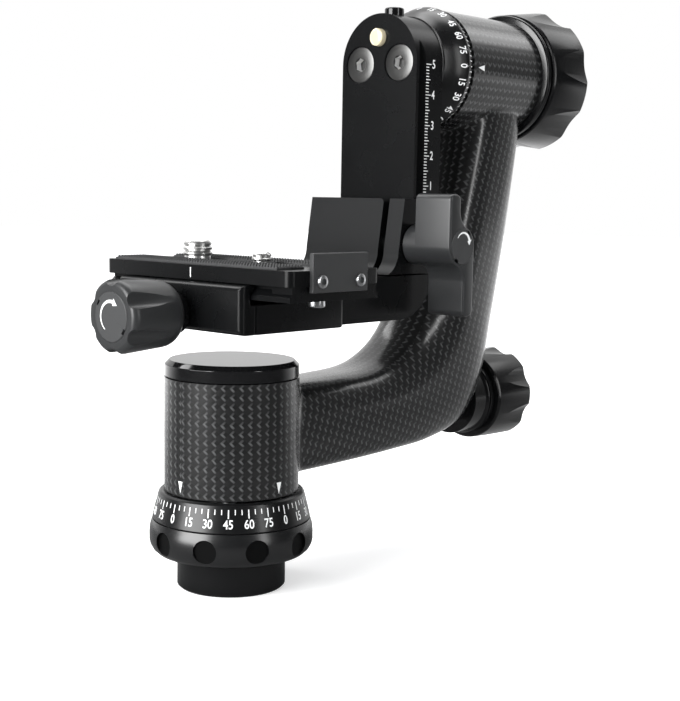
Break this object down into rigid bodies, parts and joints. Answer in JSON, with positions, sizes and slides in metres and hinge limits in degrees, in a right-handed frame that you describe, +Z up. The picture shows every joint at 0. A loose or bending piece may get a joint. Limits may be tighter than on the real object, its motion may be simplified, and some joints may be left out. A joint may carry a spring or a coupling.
{
  "type": "gimbal tripod head",
  "caption": "Side-mount gimbal head: L-shaped carbon arm, pan base with scale, tilting swing arm, sliding platform with quick-release clamp, plate and lock knobs.",
  "frame": {"origin": "centre of the tripod thread's mouth, on the pan axis at the foot's underside", "axes": "+Z up along the pan axis; +X along the tilt axis from the lens platform towards the tilt lock knob; the lens plate runs along Y and its end cover faces -Y"},
  "size_m": [0.2042, 0.0851, 0.193],
  "materials": {
    "black_metal": "black anodised, satin",
    "scale_metal": "black anodised with white filled scale",
    "carbon": "carbon fibre twill under clear coat",
    "steel": "turned stainless steel",
    "brass": "plain turned brass",
    "polished_pin": "polished, light brass colour",
    "grey_plastic": "fine matt, dark grey",
    "disc_plastic": "matt disc with a white arc arrow",
    "pad_rubber": "ribbed rubber strip",
    "grey_metal": "dark grey, fine matt"
  },
  "bodies": {
    "base": {"tripod_foot": "black_metal", "grip_ring": "black_metal", "pan_scale_ring": "scale_metal", "pan_spindle": "steel", "pan_spindle_nut": "steel", "ring_screws": "steel"},
    "pan_arm": {"carbon_arm": "carbon", "column_sleeve": "black_metal", "pan_bushes": "brass", "column_cap": "black_metal", "pan_lock_collar": "black_metal", "hub_sleeve": "black_metal", "tilt_bushes": "brass", "tilt_lock_collar": "black_metal"},
    "pan_brake": {"pan_brake_rod": "steel", "pan_brake_shoe": "brass"},
    "pan_knob": {"pan_lock_knob": "black_metal", "pan_lock_screw": "steel"},
    "tilt_arm": {"tilt_spindle": "steel", "tilt_spindle_nut": "steel", "tilt_scale_ring": "scale_metal", "swing_arm": "black_metal", "swing_arm_screws": "steel", "button_spring": "steel"},
    "tilt_brake": {"tilt_brake_pad": "brass"},
    "tilt_knob": {"tilt_lock_knob": "black_metal", "tilt_lock_screw": "steel"},
    "stop_pin": {"safety_pin": "polished_pin"},
    "button": {"release_button": "black_metal"},
    "platform": {"carriage": "black_metal", "clamp_body": "black_metal", "clamp_body_screws": "steel", "clamp_guide_pins": "steel"},
    "height_clamp": {"height_jaw": "black_metal"},
    "wing": {"wing_knob": "grey_plastic", "wing_knob_disc": "disc_plastic", "wing_screw": "steel"},
    "plate_clamp": {"clamp_jaw": "black_metal"},
    "clamp_handle": {"clamp_knob": "grey_plastic", "clamp_knob_disc": "disc_plastic", "clamp_screw": "steel"},
    "plate": {"lens_plate": "black_metal", "plate_pads": "pad_rubber", "end_cover": "grey_metal", "end_cover_screws": "steel", "plate_stop_screws": "steel"},
    "stud_large": {"camera_screw_large": "steel"},
    "stud_small": {"camera_screw_small": "steel"}
  },
  "joints": [
    {"name": "pan", "type": "hinge", "parent": "base", "child": "pan_arm", "pos_m": [0, 0, 0.04], "axis": [0, 0, 1], "continuous": true},
    {"name": "pan_brake_slide", "type": "slide", "parent": "pan_arm", "child": "pan_brake", "axis": [1, 0, 0], "range_m": [0, 0.00125]},
    {"name": "pan_lock_turn", "type": "hinge", "parent": "pan_brake", "child": "pan_knob", "pos_m": [0.12, 0, 0.0487], "axis": [1, 0, 0], "range_deg": [0, 360]},
    {"name": "tilt", "type": "hinge", "parent": "pan_arm", "child": "tilt_arm", "pos_m": [0.09, 0, 0.1672], "axis": [1, 0, 0], "continuous": true},
    {"name": "tilt_brake_slide", "type": "slide", "parent": "pan_arm", "child": "tilt_brake", "axis": [1, 0, 0], "range_m": [0, 0.00125]},
    {"name": "tilt_lock_turn", "type": "hinge", "parent": "tilt_brake", "child": "tilt_knob", "pos_m": [0.145, 0, 0.1672], "axis": [1, 0, 0], "range_deg": [0, 360]},
    {"name": "stop_pin_slide", "type": "slide", "parent": "tilt_arm", "child": "stop_pin", "axis": [1, 0, 0], "range_m": [0, 0.002]},
    {"name": "button_press", "type": "slide", "parent": "tilt_arm", "child": "button", "axis": [0, 0, -1], "range_m": [0, 0.0018], "stiffness_N_per_m": 900, "springref_m": -0.002},
    {"name": "height_slide", "type": "slide", "parent": "tilt_arm", "child": "platform", "axis": [0, 0, 1], "range_m": [0, 0.05]},
    {"name": "height_jaw_slide", "type": "slide", "parent": "platform", "child": "height_clamp", "axis": [0, -1, 0], "range_m": [0, 0.002]},
    {"name": "wing_turn", "type": "hinge", "parent": "height_clamp", "child": "wing", "pos_m": [0.061, -0.03, 0.1076], "axis": [0, -1, 0], "range_deg": [0, 720]},
    {"name": "clamp_jaw_slide", "type": "slide", "parent": "platform", "child": "plate_clamp", "axis": [-1, 0, 0], "range_m": [0, 0.003]},
    {"name": "clamp_turn", "type": "hinge", "parent": "plate_clamp", "child": "clamp_handle", "pos_m": [-0.035, 0, 0.0879], "axis": [-1, 0, 0], "range_deg": [0, 1080]},
    {"name": "plate_slide", "type": "slide", "parent": "platform", "child": "plate", "axis": [0, 1, 0], "range_m": [-0.0045, 0.007]},
    {"name": "stud_large_turn", "type": "hinge", "parent": "plate", "child": "stud_large", "pos_m": [0, 0.0163, 0.1], "axis": [0, 0, 1], "continuous": true},
    {"name": "stud_small_turn", "type": "hinge", "parent": "plate", "child": "stud_small", "pos_m": [0, -0.013, 0.1], "axis": [0, 0, 1], "continuous": true}
  ],
  "couplings": [
    {"joint": "pan_lock_turn", "follows": "pan_brake_slide", "rad_per_m": 5026.5},
    {"joint": "tilt_lock_turn", "follows": "tilt_brake_slide", "rad_per_m": 5026.5},
    {"joint": "stop_pin_slide", "follows": "button_press", "ratio": 1.11},
    {"joint": "wing_turn", "follows": "height_jaw_slide", "rad_per_m": 6283.1},
    {"joint": "clamp_turn", "follows": "clamp_jaw_slide", "rad_per_m": 6283.1}
  ]
}
